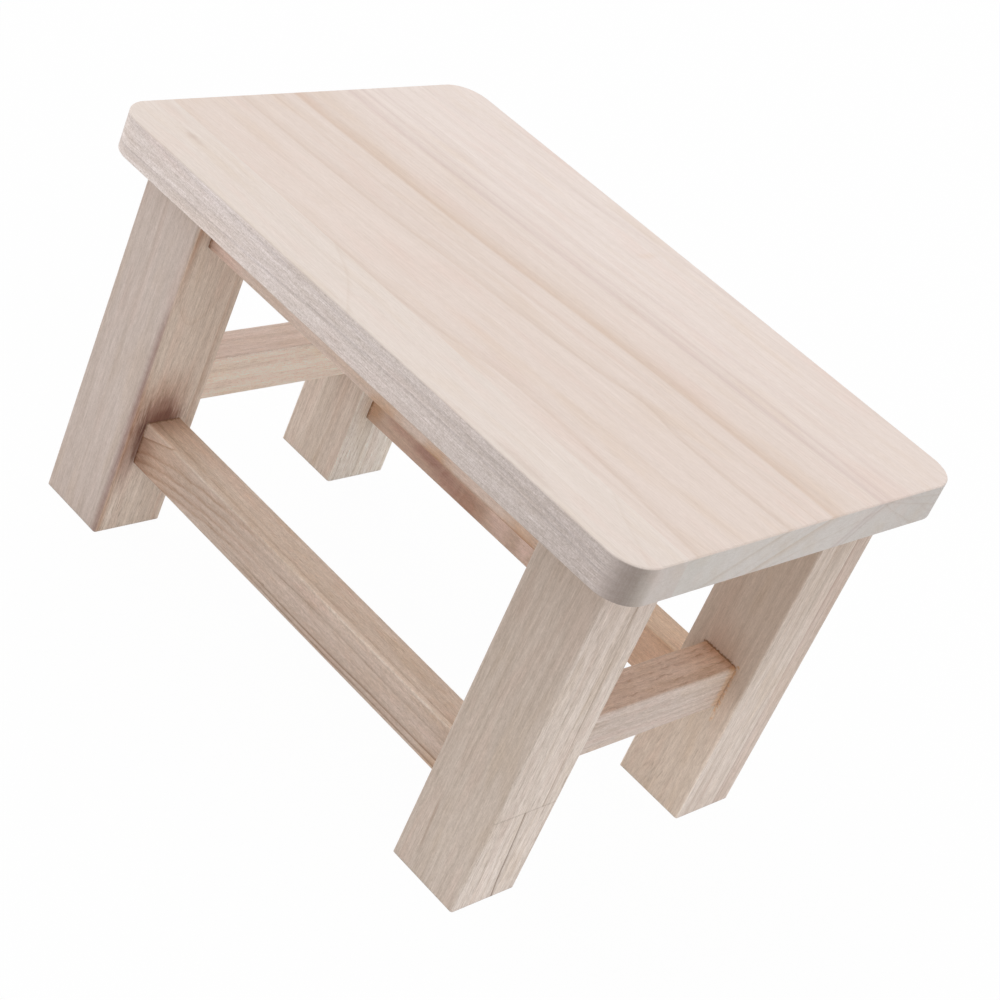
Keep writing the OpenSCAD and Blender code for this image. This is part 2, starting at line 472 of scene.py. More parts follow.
class StoolStageSettings(bpy.types.PropertyGroup):
    """Floor, light and camera."""

    floor_size: length_setting("Floor size", "Side of the square floor", 16.0, 2.0, 50.0)
    floor_colour: colour_setting("Floor colour", "Pale paint of the floor", (0.85, 0.85, 0.845))
    floor_glow: share_setting(
        "Floor white share", "Share of plain white in the floor as the camera sees it", 0.975
    )
    sky_level: number_setting(
        "Sky level", "Strength of the soft light from all round", 0.55, min=0.0, max=3.0
    )
    right_level: number_setting(
        "Right side level", "Strength of the broad soft light from the right", 0.75, min=0.0, max=5.0
    )
    left_level: number_setting(
        "Left side level", "Strength of the broad soft light from the left", 1.62, min=0.0, max=5.0
    )
    side_height: angle_setting(
        "Side light height", "How high above the level the two side lights stand", 26.0
    )
    side_focus: number_setting(
        "Side light focus", "How quickly a side light falls off", 4.0, min=1.0, max=50.0
    )
    camera_azimuth: angle_setting(
        "Camera azimuth", "Turn of the camera round the stool, from front to right", 33.13
    )
    camera_elevation: angle_setting("Camera elevation", "Height of the camera above the level", 30.62)
    camera_roll: angle_setting("Camera roll", "Lean of the stool to the right in the picture", 24.36)
    camera_distance: length_setting(
        "Camera distance", "Distance from the camera to the point it aims at", 0.9726, 0.1, 10.0
    )
    camera_aim: bpy.props.FloatVectorProperty(
        name="Camera aim",
        description="Point in the middle of the picture",
        subtype="TRANSLATION",
        size=3,
        default=(0.0172, 0.0095, 0.0875),
    )
    camera_lens: number_setting(
        "Camera lens", "Focal length in millimetres, on a 36 mm sensor", 85.66, min=10.0, max=300.0
    )


def grain_sizes(settings):
    """Length and width of a fibre and the spacing of the rings, in millimetres."""
    return settings.fibre_length * MM, settings.fibre_width * MM, settings.ring_spacing * MM


def seat_faces(wood):
    """Shares of the seat's sides: all of them, and its sawn ends alone."""
    sides = wood.to_top.ramp(0.25, 1.0) * wood.from_foot.ramp(0.01, 0.12)
    near_end = abs(wood.x).ramp(SEAT_END - 9.0, SEAT_END - 0.6)
    return sides, sides * near_end


def end_grain(wood, ends):
    """Fine cloudy grain of a sawn end, the same on both boards."""
    cloud = wood.noise(wood.y / 2.6, wood.to_top / 0.8, 7.0, 4.0, 0.65)
    wood.shade(cloud * ends * 0.22)


def seat_grain(wood, settings, flow, ring, patches, spacing_share, sharpness):
    """Soft patches, fibres, rings and pores of a seat board, drawn along x in a flow across it."""
    length, width, spacing = grain_sizes(settings)
    x, depth = wood.x, wood.to_top
    wood.mottle(x, flow, depth, *patches)
    wood.fibres(x, flow, depth, length, width, settings.grain_strength * SEAT_GRAIN)
    wood.growth(x, ring, spacing * spacing_share, sharpness, THIN_BROWN, 0.45)
    wood.dashes(x, flow, depth, PORE, 0.05, 0.09)


def main_board_wood(settings):
    """Wide seat board: rings that meet in a peak near the back, and the streaks on its top."""
    wood = Wood("seat_main_board", settings.seat_colour)
    x, y, depth = wood.x, wood.y, wood.to_top
    sides, ends = seat_faces(wood)

    # Grain runs along x and drifts backwards by its slope; the rings rise to a peak at one y
    slope, peak, rise_of_peak = 0.068, 48.0, 4.2
    drift = (x - SEAT_END) * slope + wood.noise(x / 90.0, y / 45.0, 0.0, 1.0) * 3.0
    flow = y - drift
    ring = depth - rise_of_peak * abs(flow - peak) ** 0.6

    rear = flow.ramp(25.0, 70.0)
    wood.tint(rear, CREAM)
    wood.tint(rear * x.ramp(90.0, -40.0), (1.02, 1.03, 1.04))
    seat_grain(wood, settings, flow, ring, (60.0, 16.0, 2.0), 0.55, 2.5)

    # Lines on the top, each as (x, y) of its sharp front side, its slant down the sawn end, its
    # rise and fall, its tint and its strength
    steep, flat, away, upright = 1.3, 2.6, -2.0, 0.0
    wavy = (
        (-147, -35), (-67, -31), (-27, -26), (23, -21),
        (60, -15), (73, -12.5), (90, -15), (110, -15.5), (148, -13.5),
    )
    broad = ((-147, -5), (-52, 0), (33, 8), (100, 13), (148, 14.5))
    faint = ((-118, -17), (-52, -14), (-2, -8.5), (58, -1), (108, 1.5), (148, 4))
    purple = ((-147, 25.5), (-92, 28), (-27, 33), (23, 37), (98, 42), (148, 46))
    upper = ((-147, 33), (-75, 36), (-25, 40), (25, 43.5), (75, 47.5), (148, 50.5))
    behind = ((-147, 43), (-75, 46), (-25, 49), (25, 55), (75, 59), (148, 62))
    back_left = ((-150, 72), (-92, 77.9), (-12, 92.9), (60, 104))
    low_arc = ((-30, -71.5), (3, -69.6), (28, -65), (63, -61), (98, -62.5), (148, -66.5))
    for line, slant, rise, fall, tint, strength in (
        (broad, flat, 2.6, 14.0, YELLOW_BROWN, 1.05),
        (wavy, flat, 1.5, 7.0, THIN_BROWN, 1.0),
        (faint, flat, 1.5, 4.0, THIN_BROWN, 0.6),
        (purple, steep, 2.5, 6.5, PURPLE_BROWN, 1.05),
        (upper, steep, 1.5, 3.5, PURPLE_BROWN, 0.75),
        (behind, away, 3.0, 6.0, PURPLE_BROWN, 0.4),
        (low_arc, flat, 1.8, 7.0, THIN_BROWN, 0.9),
        (back_left, upright, 2.5, 6.0, PURPLE_BROWN, 0.35),
    ):
        wood.streak(x, y + slant * depth, line, rise, fall, tint, strength)

    for across, back, long, wide in (
        (-122, -48, 26, 7),
        (30, -52, 38, 7),
        (95, -50, 30, 6),
        (-100, 2, 30, 7),
        (-12, 80, 3, 9),
    ):
        wood.stain((across, back, SEAT_TOP), (long, wide, 9.0), PALE_TAN, 0.9)

    # Growth rings on the sawn right end, as (y, depth)
    end_rings = (
        ((-62, 18), (-57, 16), (-22, 3), (-16, 1)),
        ((-22, 17), (15, 10), (44, 4), (50, 2)),
        ((24, 18), (28, 17), (45, 4), (49, 2)),
        ((50, 2), (53, 4), (73, 14), (80, 18)),
        ((52, 1), (60, 3), (92, 10), (100, 12)),
        ((60, 1), (68, 2), (96, 6), (104, 8)),
    )
    for line in end_rings:
        wood.streak(y, depth, line, 0.5, 1.6, THIN_BROWN, ends * 0.7)
    wood.shade(wood.noise(x / 26.0, y / 2.2, depth / 0.7, 3.0) * sides * (1.0 - ends) * 0.16)
    end_grain(wood, ends)
    wood.tint(ends, (0.81, 0.885, 0.93))
    wood.tint(ends * y.ramp(20.0, 80.0), (0.90, 0.885, 0.87))
    wood.tint(ends * y.ramp(-35.0, -70.0), (0.945, 0.955, 0.945))
    return wood.finish(settings, SEAT_UNEVEN)


def front_strip_wood(settings):
    """Narrow seat board: fine dark lines on its edge, bowed figure and a knot on its top."""
    wood = Wood("seat_front_strip", settings.seat_colour)
    x, y, depth = wood.x, wood.y, wood.to_top
    sides, ends = seat_faces(wood)

    bow = wood.noise(x / 80.0, 2.0, 0.0, 1.0) * 9.0
    flow = y - bow
    ring = depth + flow * 0.35 - x * 0.006

    wood.tint(1.0, (1.01, 1.04, 1.05))
    seat_grain(wood, settings, flow, ring, (50.0, 12.0, 1.6), 0.5, 2.0)

    falling = ((-36, -76), (-24, -83), (-10, -95), (0, -104))
    corner = ((112, -72), (120, -77), (134, -84), (150, -92))
    wood.lines(x, y, 1.0 - sides, (
        (falling, 1.2, 3.0, THIN_BROWN, 0.5),
        (corner, 1.2, 3.0, THIN_BROWN, 0.4),
    ))
    wood.stain((-122, -82, SEAT_TOP), (9, 2.6, 6), (0.86, 0.82, 0.80), 0.9)
    wood.stain((-105, -83, SEAT_TOP), (40, 5.0, 6), PALE_TAN, 0.8)
    wood.stain((90, -96, SEAT_TOP), (24, 3.5, 4), (0.90, 0.87, 0.85), 0.9)

    # The round corner cuts the grain aslant, and painted shade makes it much darker in its middle
    past_x = (x - (SEAT_END - SEAT_CORNER)).most(0.0)
    past_y = (SEAT_FRONT + SEAT_CORNER - y).most(0.0)
    turn = past_x * past_y * (2.0 / SEAT_CORNER**2)
    upright = wood.noise((x + y) / 0.9, depth / 14.0, 3.0, 3.0, 0.6)
    wood.shade(upright * turn * sides * 0.30)
    wood.tint(turn * turn * sides, (0.57, 0.535, 0.515))
    wood.tint(past_x.ramp(8.0, 13.0) * past_y.ramp(0.0, 3.0) * sides, (0.90, 0.89, 0.87))

    # The long edge: fine lines in the saw's direction, greyer towards the right end
    front = sides * (1.0 - ends)
    straight = front * (1.0 - turn)
    fine = wood.noise(x / 14.0, depth / 0.5, 1.0, 4.0, 0.65)
    short = wood.noise(x / 3.0, depth / 0.42, 9.0, 2.0, 0.6)
    wood.shade((fine * 0.7 + short * 0.6) * straight)
    wood.crumbs(straight * 0.65)
    wood.dashes(x, depth, 3.0, (7.0, 0.5), 0.08, straight * depth.ramp(2.0, 6.0) * 0.30)
    broad = wood.noise(x / 150.0, (depth + x * 0.012) / 2.6, 5.0, 2.0)
    wood.shade(broad * front * 0.35)
    upper = ((-150, 1.6), (-40, 2.6), (60, 4.2), (150, 6.0))
    middle = ((-150, 12.5), (-60, 11.0), (10, 8.2), (70, 7.6), (150, 10.5))
    wood.lines(x, depth, straight, (
        (upper, 0.7, 2.2, (0.80, 0.79, 0.80), 0.5),
        (middle, 0.6, 1.6, (0.76, 0.74, 0.74), 0.7),
    ))
    end_grain(wood, ends)
    wood.tint(front, (1.0, 1.0, 1.03))
    wood.tint(front * x.ramp(-110.0, -75.0) * x.ramp(-25.0, -50.0), (1.04, 1.045, 1.06))
    wood.tint(x.ramp(-SEAT_END, SEAT_END) * front, (0.84, 0.845, 0.845))
    wood.tint(x.ramp(30.0, 140.0) * front, (0.89, 0.875, 0.87))
    wood.tint(ends, (0.75, 0.77, 0.79))
    return wood.finish(settings, SEAT_UNEVEN)


# For each leg: the heart of the tree seen from the leg's middle, the ring spacing's factor, the
# strength of its grain, and the strength of its rings on the front and on the right
LEG_GRAIN = {
    "front_left_leg": (-46.0, 60.0, 1.5, 0.75, 0.4, 0.4),
    "rear_left_leg": (52.0, 38.0, 1.0, 1.1, 1.0, 1.0),
    "front_right_leg": (70.0, -44.0, 1.0, 0.9, 0.6, 0.7),
    "front_right_leg_foot": (70.0, -44.0, 1.0, 0.9, 0.6, 0.7),
    "rear_right_leg": (-64.0, 52.0, 1.0, 0.75, 0.25, 0.9),
}

# Painted light and shade of the front and right face of the leg that is jointed from two lengths
JOINTED_LEG_FACE_LIGHT = ((0.86, 0.84, 0.82), (1.01, 1.02, 1.035))


def leg_base(node, settings):
    """A leg's wood with its rings, fibres and pores, plainer on the front than on the right."""
    length, width, spacing = grain_sizes(settings)
    wood = Wood(node, settings.leg_colour)
    x, y, z = wood.x, wood.y, wood.z
    heart_x, heart_y, factor, fibre_share, front_rings, right_rings = LEG_GRAIN[node]
    dx = wood.from_left - ((wood.high.x - wood.low.x) / 2 + heart_x)
    dy = wood.from_front - ((wood.high.y - wood.low.y) / 2 + heart_y)
    bend = wood.noise(z / 130.0, heart_x, heart_y, 1.0) * 5.0
    ring = (dx * dx + dy * dy).root() + z * 0.02 + bend

    wood.on_front = wood.from_front.ramp(1.1, 0.3)
    wood.on_right = wood.to_right.ramp(1.1, 0.3)
    strong = wood.on_right * 0.5 + fibre_share
    rings = wood.on_right * (right_rings - front_rings) + front_rings
    wood.mottle(z, x, y, 45.0, 9.0, 2.2)
    wood.fibres(z, x, y, length, width, strong * settings.grain_strength)
    wood.growth(z, ring, spacing * 0.62 * factor, 2.5, DARK_GRAIN, rings)
    wood.growth(z, ring + 2.0, spacing * 1.9 * factor, 5.0, DARK_GRAIN, rings)
    wood.dashes(z, x, y, PORE, 0.06, strong * 0.26)
    wood.crumbs(0.28)
    return wood


def leg_end(wood, front, right, settings, arris=(1.05, 1.06, 1.07)):
    """Painted light and shade on the front and right faces, a painted highlight on the arrises, and
    greyer end grain of the foot.
    """
    wood.faces(wood.from_front, wood.to_right, front, right)
    across = wood.from_left.least(wood.to_right)
    back = wood.from_front.least(wood.to_back)
    wood.arrises(across, back, arris)
    wood.tint(wood.z.ramp(0.6, 0.1), (0.84, 0.85, 0.86))
    return wood.finish(settings)


def front_left_leg_wood(settings):
    """Front left leg: a brown line on its front, and dark stains round its mortises."""
    wood = leg_base("front_left_leg", settings)
    z, right, back, on_right = wood.z, wood.from_left, wood.from_front, wood.on_right
    brown = ((0, 17.0), (60, 15.0), (110, 15.0), (UNDERSIDE, 13.5))
    wood.streak(z, right, brown, 0.8, 2.5, THIN_BROWN, 0.5)
    wood.dashes(z, back, right, LONG_PORE, 0.10, z.ramp(62.0, 20.0) * on_right * 0.35)
    arch = ((2, 122), (8, 109), (13, 105), (19, 108), (26, 124))
    wood.streak(back, z, arch, 1.0, 6.0, THIN_BROWN, on_right * 0.7)
    # Dark lines along two arrises, the front one fainter between the mortises
    along_arris = z.ramp(118.0, 150.0) * 1.3 + z.ramp(95.0, 60.0)
    wood.lines(z, back, on_right, (
        (((0, 1.5), (100, 1.5), (UNDERSIDE, 3.0)), 1.5, 4.0, RED_BROWN, along_arris),
        (((0, 31.0), (90, 30.5), (UNDERSIDE, 31.0)), 1.0, 4.0, RED_BROWN, 0.5),
    ))
    uneven_edge = wood.noise(z / 3.0, 0.0, 0.0, 2.0) * 2.0
    edge = (wood.to_right + uneven_edge).ramp(4.2, 0.6) * wood.on_front * z.ramp(130.0, 95.0)
    wood.tint(edge * 0.95, (0.67, 0.57, 0.56))
    torn = z.ramp(98.0, 70.0) * back.ramp(26.0, 14.0) * on_right
    wood.dashes(z, back, right, (3.0, 0.5), 0.10, torn * 0.30)
    # Stains round both mortises, ragged like hairs along the grain
    for back_in, height, wide, tall, tint, strength in (
        (13, 63, 19, 27, (0.76, 0.64, 0.58), 1.1),
        (14, 58, 15, 17, (0.60, 0.50, 0.49), 1.4),
        (18, 57, 12, 7, (0.70, 0.60, 0.58), 1.7),
        (5, 42, 6, 30, (0.70, 0.61, 0.59), 1.3),
        (8, 46, 4, 15, (0.54, 0.44, 0.42), 1.5),
        (7, 157, 6, 14, (0.72, 0.60, 0.52), 1.0),
    ):
        centre = (wood.high.x, wood.low.y + back_in, height)
        wood.stain(centre, (10, wide, tall), tint, strength, HAIR)
    # Painted shade under the seat, growing up the leg, stronger on the right face
    wood.shade(z.ramp(10.0, UNDERSIDE) * (on_right * -0.10 - 0.02))
    return leg_end(wood, (0.87, 0.85, 0.865), (1.055, 1.06, 1.045), settings, (1.0, 1.0, 1.0))


def rear_left_leg_wood(settings):
    """Rear left leg, of which the foot shows: close straight lines."""
    wood = leg_base("rear_left_leg", settings)
    z = wood.z
    wood.lines(z, wood.from_front, 1.0, (
        (((0, 20.0), (80, 18.0), (UNDERSIDE, 19.0)), 0.8, 3.0, THIN_BROWN, 0.9),
        (((0, 8.0), (80, 9.0), (UNDERSIDE, 9.0)), 0.6, 2.0, THIN_BROWN, 0.8),
    ))
    on_the_front = ((0, 22.0), (80, 24.0), (UNDERSIDE, 23.0))
    wood.streak(z, wood.from_left, on_the_front, 0.8, 3.0, THIN_BROWN, 0.7)
    # Painted shade under the seat, growing up the leg
    wood.shade(z.ramp(10.0, UNDERSIDE) * LEG_PAINTED_SHADE)
    # Painted light: the right face much lighter than the front
    return leg_end(wood, (1.0, 1.0, 0.99), (1.21, 1.32, 1.38), settings)


def front_right_leg_wood(settings):
    """Upper length of the front right leg, with a slanting line on its right face."""
    wood = leg_base("front_right_leg", settings)
    z, back, on_right = wood.z, wood.from_front, wood.on_right
    slanting = ((FOOT_JOINT, 26.5), (105, 24.3), (UNDERSIDE, 22.0))
    beside = ((FOOT_JOINT, 20.5), (105, 20.5), (UNDERSIDE, 26.0))
    front = ((FOOT_JOINT, 13.0), (90, 12.0), (UNDERSIDE, 8.0))
    wood.lines(z, back, on_right, (
        (slanting, 0.5, 2.2, (0.68, 0.62, 0.57), 0.9),
        (beside, 0.6, 2.4, DARK_GRAIN, z.ramp(60.0, 90.0) * 0.9),
        (front, 0.8, 3.0, DARK_GRAIN, 0.5),
    ))
    on_the_front = ((FOOT_JOINT, 10.5), (105, 11.0), (UNDERSIDE, 12.0))
    wood.streak(z, wood.from_left, on_the_front, 0.7, 2.4, THIN_BROWN, 0.6)
    wood.dashes(z, back, wood.from_left, LONG_PORE, 0.09, on_right * 0.36)
    wood.tint(z.ramp(70.0, UNDERSIDE) * 0.7, (0.955, 0.945, 0.955))
    # Painted shade under the seat, growing up the leg
    wood.shade(z.ramp(10.0, UNDERSIDE) * LEG_PAINTED_SHADE)
    joint = (z - FOOT_JOINT).ramp(0.9, 0.0)
    wood.tint(joint * on_right * 0.8, GLUE_LINE)
    return leg_end(wood, *JOINTED_LEG_FACE_LIGHT, settings)


def front_right_foot_wood(settings):
    """Jointed foot of the front right leg, with a sharp dark line on its right face."""
    wood = leg_base("front_right_leg_foot", settings)
    z, back, on_right = wood.z, wood.from_front, wood.on_right
    crack = ((0, 22.0), (12, 20.2), (24, 19.2), (FOOT_JOINT, 17.0))
    wood.lines(z, back, on_right, (
        (crack, 0.5, 1.5, (0.42, 0.34, 0.29), 1.1),
        (((0, 16.0), (FOOT_JOINT, 12.0)), 0.6, 2.0, DARK_GRAIN, 0.8),
        (((0, 10.0), (FOOT_JOINT, 5.0)), 0.6, 2.4, DARK_GRAIN, 0.7),
        (((0, 29.0), (FOOT_JOINT, 24.0)), 0.6, 2.4, DARK_GRAIN, 0.7),
    ))
    wood.dashes(z, back, wood.from_left, LONG_PORE, 0.09, on_right * 0.36)
    # Painted light, growing towards the floor
    wood.tint(z.ramp(50.0, 10.0), (1.05, 1.06, 1.07))
    dark = ((0, 11.0), (28, 9.5), (FOOT_JOINT, 9.0))
    shown = z.ramp(6.0, 16.0) * z.ramp(44.0, 30.0)
    wood.streak(z, wood.from_left, dark, 0.7, 2.0, (0.72, 0.63, 0.57), shown * 0.8)
    wood.tint((z - FOOT_JOINT).ramp(-0.6, 0.0) * on_right * 0.5, GLUE_LINE)
    return leg_end(wood, *JOINTED_LEG_FACE_LIGHT, settings)


def rear_right_leg_wood(settings):
    """Rear right leg: straight dark lines, and torn fibres round its mortise."""
    wood = leg_base("rear_right_leg", settings)
    z, back, on_right, on_front = wood.z, wood.from_front, wood.on_right, wood.on_front
    wood.tint(back.ramp(23.0, 26.0) * back.ramp(35.0, 31.0) * on_right * 0.6, (0.95, 0.90, 0.89))
    upper = z.ramp(50.0, 130.0) * 0.6 + 0.5
    wood.lines(z, back, on_right, (
        (((0, 24.5), (UNDERSIDE, 24.0)), 0.6, 2.6, (0.72, 0.63, 0.60), upper),
        (((0, 20.5), (UNDERSIDE, 20.5)), 0.5, 2.0, DARK_GRAIN, upper * 0.7),
        (((0, 11.5), (UNDERSIDE, 11.0)), 0.6, 2.4, DARK_GRAIN, 0.7),
        (((0, 5.5), (UNDERSIDE, 5.0)), 0.6, 2.4, DARK_GRAIN, 0.6),
    ))
    # Painted shade under the seat: stronger up the right face, and growing up the whole leg
    wood.shade(z.ramp(20.0, 150.0) * on_right * LEG_PAINTED_SHADE)
    wood.shade(z.ramp(10.0, UNDERSIDE) * LEG_PAINTED_SHADE)

    # Under the stretcher short dashes spread out like a fan, on paler wood lightened further by
    # painted light
    bar_low, bar_high = box_mm("right_stretcher")
    low_part = z.ramp(72.0, 52.0) * on_front
    fan_top, widening = 62.0, 0.011
    fan = wood.to_right / ((fan_top - z) * widening + 1.0)
    wood.shade(wood.noise(z / 7.0, fan / 0.8, 2.0, 3.0, 0.6) * low_part * 0.42)
    wood.dashes(z, fan, 4.0, (7.0, 0.5), 0.12, low_part * 0.24)
    wood.tint(low_part, (1.31, 1.345, 1.36))
    # Torn fibres round the mortise; the red-brown blot above the bar is partly a stain and partly
    # painted shade
    over, beside = z - bar_high.z, wood.x - bar_high.x
    above_bar = (bar_high.x - 9, wood.low.y, bar_high.z + 2)
    wood.stain(above_bar, (17, 6, 20), RED_BROWN, on_front * 0.42, HAIR)
    wandering = wood.noise(wood.x / 3.0, 4.0, z / 3.0, 2.0) * 1.6
    around = over.most(beside).most(bar_low.x - wood.x).most(bar_low.z - z) + wandering
    broken = wood.noise(wood.x / 1.6, 0.0, z / 1.6, 2.0).ramp(-0.16, 0.06)
    rim = on_front * broken * (1.0 - beside.ramp(-0.6, 0.2) * 0.55)
    joint_shade(wood, around, 1.0, TORN_DARK, rim)
    crumbs = over.most(bar_low.z - 6.0 - z).most(beside) - 0.2
    spread = beside.ramp(-0.5, 0.2) * on_front * (1.2 - broken)
    joint_shade(wood, crumbs, 1.7, (0.98, 0.78, 0.56), spread.least(1.0))
    return leg_end(wood, (0.885, 0.855, 0.82), (1.03, 1.035, 1.05), settings)


def bar_base(node, settings, along, across, heart, wave=0.0, rings=1.0):
    """A bar's wood, with wavy fibres if asked for, and rings of the given strength.

    Its rings lie round a heart given across the bar and upwards from its middle.
    """
    length, width, spacing = grain_sizes(settings)
    wood = Wood(node, settings.stretcher_colour)
    run = getattr(wood, along)
    low_side, high_side = {
        "x": (wood.from_left, wood.to_right),
        "y": (wood.from_front, wood.to_back),
    }[across]
    breadth = getattr(wood.high, across) - getattr(wood.low, across)
    from_heart = low_side - (breadth / 2 + heart[0])
    up = wood.from_foot - ((wood.high.z - wood.low.z) / 2 + heart[1])
    bend = wood.noise(run / 100.0, heart[0], heart[1], 1.0) * 6.0
    ring = (from_heart * from_heart + up * up).root() + bend

    wobble = wood.noise(run / 5.0, low_side / 5.0, up / 5.0, 1.0) * wave
    fibre = low_side + wobble
    wood.mottle(run, low_side, wood.z, 40.0, 8.0, 2.4)
    wood.mottle(run, low_side, wood.z, 9.0, 4.0, 1.6)
    wood.fibres(run, fibre, up + wobble, length, width, settings.grain_strength)
    wood.growth(run, ring + wobble, spacing * 0.5, 2.0, DARK_GRAIN, rings)
    wood.dashes(run, fibre, up + wobble, PORE, 0.08, 0.28)
    wood.crumbs(0.42)
    across_bar, upwards = low_side.least(high_side), wood.from_foot.least(wood.to_top)
    # Faint painted shade on the long edges
    wood.arrises(across_bar, upwards, (0.98, 0.98, 0.98))
    wood.to_leg = (BARE_HALF[along] - run).least(run + BARE_HALF[along])
    return wood


def joint_shade(wood, to_joint, width, tint, strength):
    """A darker line with a ragged edge where a bar enters a leg."""
    ragged = wood.noise(wood.x / 1.2, wood.y / 1.2, wood.z / 1.2, 3.0, 0.6) * (1.8 * width)
    wood.tint((to_joint + ragged).ramp(width, 0.2 * width) * strength, tint)


def front_stretcher_wood(settings):
    """Front stretcher: bowed grain at its left, a pale top edge and a dark crack low down."""
    wood = bar_base("front_stretcher", settings, "x", "y", (6.0, -34.0), 0.8, 0.7)
    x, up, height = wood.x, wood.from_foot, wood.high.z - wood.low.z
    on_front = wood.from_front.ramp(2.0, 0.3)
    on_top = wood.to_top.ramp(*FACE)
    right_half = x.ramp(-50.0, 0.0)
    for line, strength in (
        (((-60, 5.5), (-20, 4.2), (20, 3.8), (60, 4.6), (101, 5.0)), 1.0),
        (((-60, 2.5), (-20, 2.2), (20, 1.6), (60, 2.0), (101, 1.6)), 0.9),
        (((-60, 14.0), (-20, 13.5), (20, 14.5), (60, 14.0), (101, 15.0)), 0.5),
    ):
        wood.streak(x, up, line, 0.6, 1.4, (0.58, 0.49, 0.42), on_front * right_half * strength)
    for rise in (0.0, -4.5, -8.5, -12.0):
        bowed = tuple((start, level + rise) for start, level in
                      ((-101, 6.0), (-85, 12.0), (-60, 16.5), (-30, 19.0), (0, 20.0)))
        uneven = up + wood.noise(x / 14.0, rise, 0.0, 2.0) * 3.0
        wood.streak(x, uneven, bowed, 1.2, 3.0, (0.82, 0.74, 0.68), on_front * x.ramp(0.0, -50.0))
    # A pale edge with torn ticks, and a dark line behind it on the top
    ticks = wood.noise((x + up) / 1.4, up / 1.6, 3.0, 2.0).ramp(-0.18, 0.10)
    wood.tint(on_front * up.ramp(15.5, 18.0) * x.ramp(-75.0, -35.0) * ticks, (1.10, 1.10, 1.10))
    torn_band = on_front * up.ramp(6.5, 8.5) * up.ramp(12.5, 10.5) * right_half
    wood.tint(torn_band * ticks, (1.06, 1.06, 1.08))
    behind_edge = ((-101, 5.0), (0, 3.2), (101, 3.0))
    wood.streak(x, wood.from_front, behind_edge, 0.6, 1.8, DARK_GRAIN, on_top)
    # A pale wedge split from the edge at the left leg, over a dark line
    from_left_leg = x + BARE_HALF["x"]
    split = ((-101, height - 7.0), (-82, height))
    above_split = (up - wood.graph.curve(x, split)).ramp(-0.2, 0.4)
    near_leg = from_left_leg.ramp(20.0, 18.0) * on_front
    wedge = above_split * near_leg
    wood.streak(x, up, split, 1.2, 0.4, (0.78, 0.70, 0.64), near_leg)
    wood.tint(from_left_leg.ramp(40.0, 5.0), (1.01, 0.95, 0.90))
    wood.tint(from_left_leg.ramp(40.0, 10.0) * on_front, (0.99, 0.95, 0.92))
    # Painted shade over the last 14 mm by the left leg, outside the pale wedge
    wood.tint(from_left_leg.ramp(14.0, 0.0) * (1.0 - wedge), (0.74, 0.65, 0.60))
    wood.tint(wedge, (1.04, 1.06, 1.09))
    wood.tint(on_top * x.ramp(0.0, 90.0), (1.06, 1.08, 1.10))
    orange = wood.noise(x / 7.0, wood.from_front / 2.4, up / 2.4, 3.0, 0.6).ramp(0.02, 0.22)
    wood.tint(orange * 0.6, (1.0, 0.955, 0.91))
    wood.dashes(x, wood.from_front, up, LONG_PORE, 0.06, 0.22)
    low_right = on_front * up.ramp(7.0, 3.0) * x.ramp(80.0, 95.0)
    wood.tint(low_right * 0.8, (0.98, 0.88, 0.76))
    joint_shade(wood, wood.to_leg, 1.4, SHADOW_BROWN, 0.8)
    # Painted shade on the front face and painted light on the top
    wood.faces(wood.from_front, wood.to_top, (0.89, 0.89, 0.885), (1.13, 1.20, 1.21))
    return wood.finish(settings)


def rear_stretcher_wood(settings):
    """Rear stretcher, patchy and more orange than the others."""
    wood = bar_base("rear_stretcher", settings, "x", "y", (-8.0, -30.0), 0.0, 0.6)
    x, front, middle, top = wood.x, wood.low.y, (wood.low.z + wood.high.z) / 2, wood.high.z
    for spot, above, half, tall, tint in (
        (-97, 0, 7, 15, (0.92, 0.81, 0.68)),
        (-80, -1, 12, 5, (0.88, 0.80, 0.80)),
        (-60, -2, 16, 6, (0.74, 0.63, 0.63)),
        (-44, -5, 14, 7, (0.80, 0.69, 0.68)),
        (-30, -7, 12, 10, (0.82, 0.71, 0.66)),
        (-10, 0, 11, 15, (1.22, 1.24, 1.34)),
        (7, 0, 8, 15, (1.28, 1.31, 1.42)),
    ):
        wood.stain((spot, front, middle + above), (half, 5, tall), tint, 1.2)
    for spot, half, tint in (
        (-95, 12, (1.02, 0.92, 0.80)),
        (-62, 12, (0.95, 0.90, 0.92)),
        (-36, 9, (1.06, 1.07, 1.00)),
        (-8, 24, (0.86, 0.76, 0.66)),
    ):
        wood.stain((spot, front + 9, top), (half, 12, 3), tint, 1.1)
    wood.tint(x.ramp(-16.0, -20.0) * x.ramp(-90.0, -60.0), (0.94, 0.90, 0.90))
    wood.tint(x.ramp(20.0, 90.0), (1.12, 1.03, 0.93))
    on_top = wood.to_top.ramp(1.0, 0.2)
    wood.tint(on_top * x.ramp(20.0, 90.0), (1.0, 1.06, 1.10))
    joint_shade(wood, wood.to_leg, 1.6, SHADOW_BROWN, 0.8)
    # Painted light and shade on the front and the top
    wood.faces(wood.from_front, wood.to_top, (1.02, 0.98, 0.95), (1.04, 1.04, 1.0))
    return wood.finish(settings)


def left_stretcher_wood(settings):
    """Left stretcher: even straight grain."""
    wood = bar_base("left_stretcher", settings, "y", "x", (20.0, 36.0), 0.0, 0.4)
    joint_shade(wood, wood.to_leg, 1.0, SHADOW_BROWN, 0.7)
    # Painted light: the right face much lighter, the top a little lighter
    wood.faces(wood.to_right, wood.to_top, (1.42, 1.60, 1.67), (1.02, 1.06, 1.11))
    return wood.finish(settings)


